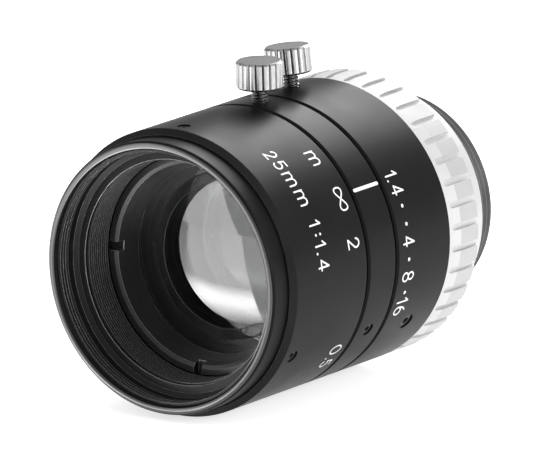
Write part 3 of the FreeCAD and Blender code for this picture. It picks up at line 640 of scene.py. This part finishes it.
def polished_face(vertex, curve, reach):
    """(radius, y) points from the axis to a face's rim; a negative curve falls back to the front."""
    radii = [reach * k / lens_steps for k in range(lens_steps + 1)]
    return [(radius, vertex + math.copysign(sag(abs(curve), radius), curve)) for radius in radii]


def optical_glass(name, colour):
    """Glass whose coating mirrors little, so its index is low, with the faintest haze of dust."""
    material, tree, shader, place = new_finish(name, colour, 0.0)
    shader.inputs["Transmission Weight"].default_value = 1.0
    shader.inputs["IOR"].default_value = glass_index
    tree.links.new(spread(tree, speckle(tree, place, glass_dust), 0.0, 0.02), shader.inputs["Roughness"])
    return material


def turned_faces(columns, rows):
    """Faces between the columns of a profile that is turned round its axis."""
    faces = []
    for i in range(columns):
        here = i * rows
        there = (i + 1) % columns * rows
        for j in range(rows - 1):
            faces.append((here + j, here + j + 1, there + j + 1, there + j))
    return faces


def lens(name, front, rear, node, material, front_coat=None):
    """Turned lens from its front face's points and its rear face's, both given from the axis outwards."""
    profile = front + rear[::-1]
    corners = []
    for i in range(lens_columns):
        corners += [on_ring(radius, y, 360.0 * i / lens_columns) for radius, y in profile]
    piece = new_piece(name, corners, turned_faces(lens_columns, len(profile)), material, "optical_block")
    if front_coat:
        piece.data.materials.append(front_coat)
        for face in piece.data.polygons:
            face.material_index = int(face.normal.y < coated_tilt)
    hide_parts(node)


def measured(node):
    """A lens's front place, rear place and radius in millimetres, from its solid."""
    low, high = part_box(node)
    return low.y / MM, high.y / MM, high.x / MM


front_coat = optical_glass("front coat", coat_tint)
coat = front_coat.node_tree.nodes["Principled BSDF"].inputs
coat["Coat Weight"].default_value = 1.0
coat["Coat IOR"].default_value = coat_index
coat["Coat Roughness"].default_value = coat_roughness
clear_glass = optical_glass("coated glass", glass_tint)
front_y, rear_y, reach = measured("front_element")
lens("front_lens", polished_face(front_y, front_curves[0], reach),
     polished_face(rear_y - sag(front_curves[1], reach), front_curves[1], reach),
     "front_element", clear_glass, front_coat)
front_y, rear_y, reach = measured("second_element")
lens("second_lens", polished_face(front_y, second_curve, reach), [(0.0, rear_y), (reach, rear_y)],
     "second_element", clear_glass)
front_y, rear_y, reach = measured("third_element")
dish = reach - third_rim
lens("third_lens", [(0.0, front_y + cement), (reach, front_y + cement)],
     polished_face(rear_y - sag(third_curve, dish), third_curve, dish) + [(reach, rear_y)],
     "third_element", clear_glass)
dress("front_spacer", inside_black)

# Iris tube, blades and cam ring

# The sliding tube is a black anodised turning. Its web carries five stamped blades of blackened
# spring steel, and the turned cam ring behind them swings all five.
blade_count = 5
blade_steel = blackened("blade steel", 0.42)
dress("iris_tube", inside_black)
for number in range(blade_count):
    dress("iris_blade_" + str(number + 1), blade_steel)
dress("iris_cam_ring", inside_black)

# Rear cell, its glass and its rings

# A black turned cell screwed into the back of the iris tube. It holds a cemented pair and the last
# lens, each kept by a threaded ring with two spanner slots.
fourth_curve = 9.0
fourth_rim = 2.0
fifth_curve = 13.5
sixth_curves = (24.0, -34.0)
for name in ("rear_cell", "rear_doublet_ring", "rear_retaining_ring"):
    dress(name, inside_black)
front_y, rear_y, reach = measured("fourth_element")
dish = reach - fourth_rim
lens("fourth_lens",
     polished_face(front_y + sag(fourth_curve, dish), -fourth_curve, dish) + [(reach, front_y)],
     [(0.0, rear_y), (reach, rear_y)], "fourth_element", clear_glass)
front_y, rear_y, reach = measured("fifth_element")
lens("fifth_lens", [(0.0, front_y + cement), (reach, front_y + cement)],
     polished_face(rear_y, -fifth_curve, reach), "fifth_element", clear_glass)
front_y, rear_y, reach = measured("sixth_element")
lens("sixth_lens", polished_face(front_y, sixth_curves[0], reach),
     polished_face(rear_y, sixth_curves[1], reach), "sixth_element", clear_glass)

# Focusing sleeve and its clip ring

# Turned brass sleeve with the coarse focusing thread, left bright under the focus ring, and a
# split ring of blackened spring steel that keeps it on the front barrel.
brass_colour = (0.71, 0.58, 0.30)
brass_tarnished = (0.62, 0.49, 0.25)
brass_bright = (0.74, 0.61, 0.33)
brass_patch = 3.0
brass_lathe_pitch = 0.2
brass_lathe_depth = 0.004
brass_edge = 0.05


def turned_brass(name):
    """Bare brass with lathe lines, duller where it has tarnished."""
    material, tree, shader, place = new_finish(name, brass_colour, 0.3, metallic=1.0)
    tarnish = speckle(tree, place, brass_patch)
    tree.links.new(two_tones(tree, tarnish, brass_tarnished, brass_bright), shader.inputs["Base Color"])
    tree.links.new(spread(tree, tarnish, 0.36, 0.26), shader.inputs["Roughness"])
    relief(tree, shader, [(lathe_lines(tree, place, brass_lathe_pitch), brass_lathe_depth)], brass_edge)
    return material


dress("helicoid_sleeve", turned_brass("turned brass"))
dress("sleeve_clip_ring", blade_steel)

# Lock screws and their pads

# Two M2 screws of nickel-plated brass with straight-knurled heads, turned from bar. Each presses a
# small nylon pad on the tube below and so locks its ring.
lock_shank_root = 0.79
lock_shank_crest = 1.0
lock_shank_buried = 0.1
lock_pitch = 0.4
lock_tip_plain = 0.2
lock_neck_plain = 0.15
lock_shank_columns = 48
lock_head_radius = 2.82
lock_head_bevel = 0.25
lock_head_base = 18.82
lock_head_top = 22.12
lock_head_middle = 0.6
lock_ridges = 20
lock_ridge_depth = 0.3
lock_rib = [(-0.42, 0.35), (-0.34, 0.9), (-0.28, 1.0), (0.0, 1.0), (0.28, 1.0), (0.34, 0.9), (0.42, 0.35),
            (0.5, 0.0)]
lock_groove = 2.68
lock_side_tilt = 0.5
lock_screws = [("focus", -24.93, 0.0, 14.73), ("iris", -16.33, -5.5, 16.03)]
nickel_spot = 0.6
nickel_grain = 0.08
nickel_grain_depth = 0.0003
nickel_edge = 0.03
nylon_milky = (0.80, 0.80, 0.76)
nylon_dull = (0.77, 0.77, 0.73)
nylon_pale = (0.82, 0.82, 0.78)
nylon_cloud = 0.4


def nickel(name, tone):
    """Nickel plate over turned brass: warm grey metal with a satin sheen; a low tone gives a darker copy
    for painted shade.
    """
    material, tree, shader, place = new_finish(name, (tone, tone, tone * 0.98), 0.22, metallic=1.0)
    spots = speckle(tree, place, nickel_spot)
    cloudy = two_tones(tree, spots, (tone * 0.93,) * 3, (tone * 1.07,) * 3)
    tree.links.new(cloudy, shader.inputs["Base Color"])
    tree.links.new(spread(tree, spots, 0.20, 0.26), shader.inputs["Roughness"])
    relief(tree, shader, [(speckle(tree, place, nickel_grain), nickel_grain_depth)], nickel_edge)
    return material


def knurled_head():
    """Corners and faces of the head about its own axis, Y, with its ridges cut along it.

    A ridge's points are pairs: how far round its share of the head, and how far up from the groove.
    """
    corners = []
    shoulder = lock_head_radius - lock_head_bevel
    for i in range(lock_ridges):
        for share, height in lock_rib:
            angle = 360.0 * (i + share) / lock_ridges
            radius = lock_head_radius - lock_ridge_depth * (1.0 - height)
            past = max(radius - shoulder, 0.0)
            rim = min(radius, shoulder)
            profile = [(0.0, lock_head_base), (rim, lock_head_base), (radius, lock_head_base + past),
                       (radius, lock_head_top - past), (rim, lock_head_top),
                       (rim * lock_head_middle, lock_head_top), (0.0, lock_head_top)]
            corners += [on_ring(out, y, angle) for out, y in profile]
    return corners, turned_faces(lock_ridges * len(lock_rib), len(profile))


nickel_plate = nickel("nickel plate", 0.40)
shaded_nickel = nickel("nickel with painted shade", 0.15)
for ring, y, angle, tip in lock_screws:
    upright = Matrix.Rotation(math.radians(angle), 3, "Y") @ Matrix.Rotation(math.radians(90), 3, "X")
    place = Vector((0.0, y, 0.0))
    shank_top = lock_head_base + lock_shank_buried
    shank_profile = [(lock_shank_root, shank_top), (0.0, shank_top), (0.0, tip), (lock_shank_root, tip)]
    thread_ends = (tip + lock_tip_plain, lock_head_base - lock_neck_plain)
    head_corners, head_faces = knurled_head()
    shank_corners, shank_faces = threaded(lock_shank_root, lock_shank_crest, lock_pitch, thread_ends,
                                          shank_profile, lock_shank_columns)
    shift = len(head_corners)
    screw_faces = head_faces + [tuple(shift + k for k in face) for face in shank_faces]
    screw_corners = [upright @ Vector(corner) + place for corner in head_corners + shank_corners]
    screw = new_piece(ring + "_knurled_screw", screw_corners, screw_faces, nickel_plate,
                      ring + "_lock_screw")
    # The shank under the head and the floors of the knurl's grooves take the darker nickel, which is
    # painted shade.
    screw.data.materials.append(shaded_nickel)
    axis = upright @ Vector((0.0, 1.0, 0.0))
    for face in screw.data.polygons:
        height = (face.center / MM - place).dot(axis)
        reach = (face.center / MM - place - axis * height).length
        groove = abs(face.normal.dot(axis)) < lock_side_tilt and reach < lock_groove
        face.material_index = int(height < lock_head_base or groove)
    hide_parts(ring + "_lock_screw")


def nylon(name):
    """Natural nylon: milky, with a soft sheen."""
    material, tree, shader, place = new_finish(name, nylon_milky, 0.5)
    shader.inputs["Subsurface Weight"].default_value = 0.2
    shader.inputs["Subsurface Scale"].default_value = 0.0005
    cloudy = two_tones(tree, speckle(tree, place, nylon_cloud), nylon_dull, nylon_pale)
    tree.links.new(cloudy, shader.inputs["Base Color"])
    return material


pad_nylon = nylon("natural nylon")
dress("focus_lock_pad", pad_nylon)
dress("iris_lock_pad", pad_nylon)

# Table, lamps and camera

# A pale table under the lens, a soft lamp high behind it and a weaker one on its right. A white wall
# stands in front on the left, where the glass mirrors it, and a long lens looks down from the right.
table_height = -17.25
table_reach = 3000.0
table_grain = 0.8
table_grain_depth = 0.01
glow_even = 0.68
glow_left = 2.1
glow_left_start = -18.2
glow_left_slant = 0.297
glow_left_blur = 0.4
glow_far = -72.0
glow_near = -58.0
glow_end = -46.0
glow_peak = 4.2
glow_edge = -31.0
glow_edge_blur = 8.0
glow_past_edge = 0.15
wall_level = 2.4
wall_side = (-0.775, 0.244, -0.584)
wall_side_blur = (0.0, 0.02)
wall_front_blur = (-0.05, -0.25)
wall_end = (0.643, -0.766, 0.0)
wall_end_blur = (-0.08, 0.08)
wall_past_end = 0.15
room_level = 0.3
room_front = 0.55
room_front_blur = (0.0, -0.4)
room_behind = 0.6
room_behind_blur = (-0.1, 0.3)
room_left = 0.3
room_left_blur = (-0.2, 0.4)
lamp_target = (0.0, -25.0, 0.0)
camera_turn = 36.0
camera_rise = 13.32
camera_roll = -1.3
camera_target = Vector((0.0, -42.0, 0.0))
camera_offset = (10.755936, 5.566349, 1400.09472)
camera_sensor = 36.0
camera_lens = 800.0


def calculated(tree, operation, *values):
    """Output of one arithmetic node; a value is a number or another node's output."""
    node = tree.nodes.new("ShaderNodeMath")
    node.operation = operation
    for socket, value in zip(node.inputs, values):
        if isinstance(value, float):
            socket.default_value = value
        else:
            tree.links.new(value, socket)
    return node.outputs["Value"]


def shown_white(tree):
    """1 for rays that see the surroundings directly, in metal or through glass, and 0 for the rest."""
    path = tree.nodes.new("ShaderNodeLightPath").outputs
    seen = calculated(tree, "MAXIMUM", path["Is Camera Ray"], path["Is Glossy Ray"])
    return calculated(tree, "MAXIMUM", seen, path["Is Transmission Ray"])


def eased(tree, value, ends, low, high):
    """A value's smooth rise from low to high between two places."""
    rise = tree.nodes.new("ShaderNodeMapRange")
    rise.interpolation_type = "SMOOTHSTEP"
    rise.inputs["From Min"].default_value = ends[0]
    rise.inputs["From Max"].default_value = ends[1]
    rise.inputs["To Min"].default_value = low
    rise.inputs["To Max"].default_value = high
    tree.links.new(value, rise.inputs["Value"])
    return rise.outputs["Result"]


def split(tree, vector):
    """The X, Y and Z of a vector, as outputs."""
    parts = tree.nodes.new("ShaderNodeSeparateXYZ")
    tree.links.new(vector, parts.inputs["Vector"])
    return parts.outputs


def facing(tree, direction, towards):
    """How nearly a direction looks towards another, from -1 to 1."""
    share = tree.nodes.new("ShaderNodeVectorMath")
    share.operation = "DOT_PRODUCT"
    share.inputs[1].default_value = towards
    tree.links.new(direction, share.inputs[0])
    return share.outputs["Value"]


table_mesh = bpy.data.meshes.new("table")
table_build = bmesh.new()
table_corners = [table_build.verts.new((x * table_reach * MM, y * table_reach * MM, table_height * MM))
                 for x, y in ((-1, -1), (1, -1), (1, 1), (-1, 1))]
table_build.faces.new(table_corners)
table_build.to_mesh(table_mesh)
table_build.free()
table = bpy.data.objects.new("table", table_mesh)
bpy.context.scene.collection.objects.link(table)
table_paint, table_tree, table_shader, table_place = new_finish("pale table", (0.88, 0.88, 0.88), 0.8)
table_shader.inputs["Emission Color"].default_value = (1.0, 1.0, 1.0, 1.0)
spot = split(table_tree, table_place)
# Painted reflection: the table glows in a bright patch in front of the lens on the left, seen only by the
# camera, in metal and through glass, and it lights nothing.
seam = calculated(table_tree, "MULTIPLY_ADD", spot["Y"], -glow_left_slant, glow_left_start * MM)
seam = calculated(table_tree, "ADD", seam, spot["X"])
beside = eased(table_tree, seam, (glow_left_blur * MM, -glow_left_blur * MM), 0.0, glow_left)
near = eased(table_tree, spot["Y"], (glow_far * MM, glow_near * MM), 1.0, glow_peak)
front = eased(table_tree, spot["Y"], (glow_end * MM, glow_near * MM), 0.0, 1.0)
edge = calculated(table_tree, "MULTIPLY_ADD", spot["Y"], -1.0, glow_edge * MM)
edge = calculated(table_tree, "ADD", edge, spot["X"])
within = eased(table_tree, edge, (-glow_edge_blur * MM, glow_edge_blur * MM), glow_past_edge, 1.0)
glow = calculated(table_tree, "MULTIPLY", beside, near)
glow = calculated(table_tree, "MULTIPLY", glow, within)
glow = calculated(table_tree, "MULTIPLY_ADD", glow, front, glow_even)
glow = calculated(table_tree, "MULTIPLY", glow, shown_white(table_tree))
table_tree.links.new(glow, table_shader.inputs["Emission Strength"])
relief(table_tree, table_shader, [(speckle(table_tree, table_place, table_grain), table_grain_depth)])
table_mesh.materials.append(table_paint)

world = bpy.data.worlds.new("studio")
bpy.context.scene.world = world
world.use_nodes = True
air = world.node_tree
backdrop = air.nodes["Background"].inputs
backdrop["Color"].default_value = (1.0, 1.0, 1.0, 1.0)
direction = air.nodes.new("ShaderNodeTexCoord").outputs["Generated"]
heading = split(air, direction)
wall = eased(air, facing(air, direction, wall_side), wall_side_blur, 0.0, wall_level)
wall = calculated(air, "MULTIPLY", wall, eased(air, heading["Y"], wall_front_blur, 0.0, 1.0))
wall_stop = eased(air, facing(air, direction, wall_end), wall_end_blur, wall_past_end, 1.0)
wall = calculated(air, "MULTIPLY", wall, wall_stop)
wall = calculated(air, "MULTIPLY", wall, shown_white(air))
room = eased(air, heading["Y"], room_behind_blur, 0.0, room_behind)
room = calculated(air, "MULTIPLY", room, eased(air, heading["X"], room_left_blur, room_left, 1.0))
room = calculated(air, "ADD", room, room_level)
room = calculated(air, "ADD", room, eased(air, heading["Y"], room_front_blur, 0.0, room_front))
air.links.new(calculated(air, "ADD", wall, room), backdrop["Strength"])


def soft_lamp(name, spot, side, watts):
    """Flat, square soft box that looks at the lens, all in millimetres."""
    light = bpy.data.lights.new(name, "AREA")
    light.shape = "SQUARE"
    light.size = side * MM
    light.energy = watts
    lamp = bpy.data.objects.new(name, light)
    lamp.location = Vector(spot) * MM
    lamp.rotation_mode = "QUATERNION"
    lamp.rotation_quaternion = (Vector(lamp_target) * MM - lamp.location).to_track_quat("-Z", "Y")
    bpy.context.scene.collection.objects.link(lamp)


soft_lamp("top softbox", spot=(-55.0, 290.0, 240.0), side=230.0, watts=1.45)
soft_lamp("right softbox", spot=(480.0, -20.0, 150.0), side=300.0, watts=1.4)

turn = math.radians(camera_turn)
rise = math.radians(camera_rise)
roll = math.radians(camera_roll)
back = Vector((math.sin(turn) * math.cos(rise), -math.cos(turn) * math.cos(rise), math.sin(rise)))
right = Vector((math.cos(turn), math.sin(turn), 0.0))
up = back.cross(right)
rolled_right = right * math.cos(roll) + up * math.sin(roll)
rolled_up = up * math.cos(roll) - right * math.sin(roll)
view = bpy.data.cameras.new("photograph view")
view.sensor_width = camera_sensor
view.lens = camera_lens
camera = bpy.data.objects.new("photograph view", view)
camera.rotation_mode = "QUATERNION"
camera.rotation_quaternion = Matrix((rolled_right, rolled_up, back)).transposed().to_quaternion()
offset = rolled_right * camera_offset[0] + rolled_up * camera_offset[1] + back * camera_offset[2]
camera.location = (camera_target + offset) * MM
bpy.context.scene.collection.objects.link(camera)
bpy.context.scene.camera = camera
bpy.context.scene.view_settings.view_transform = "Standard"
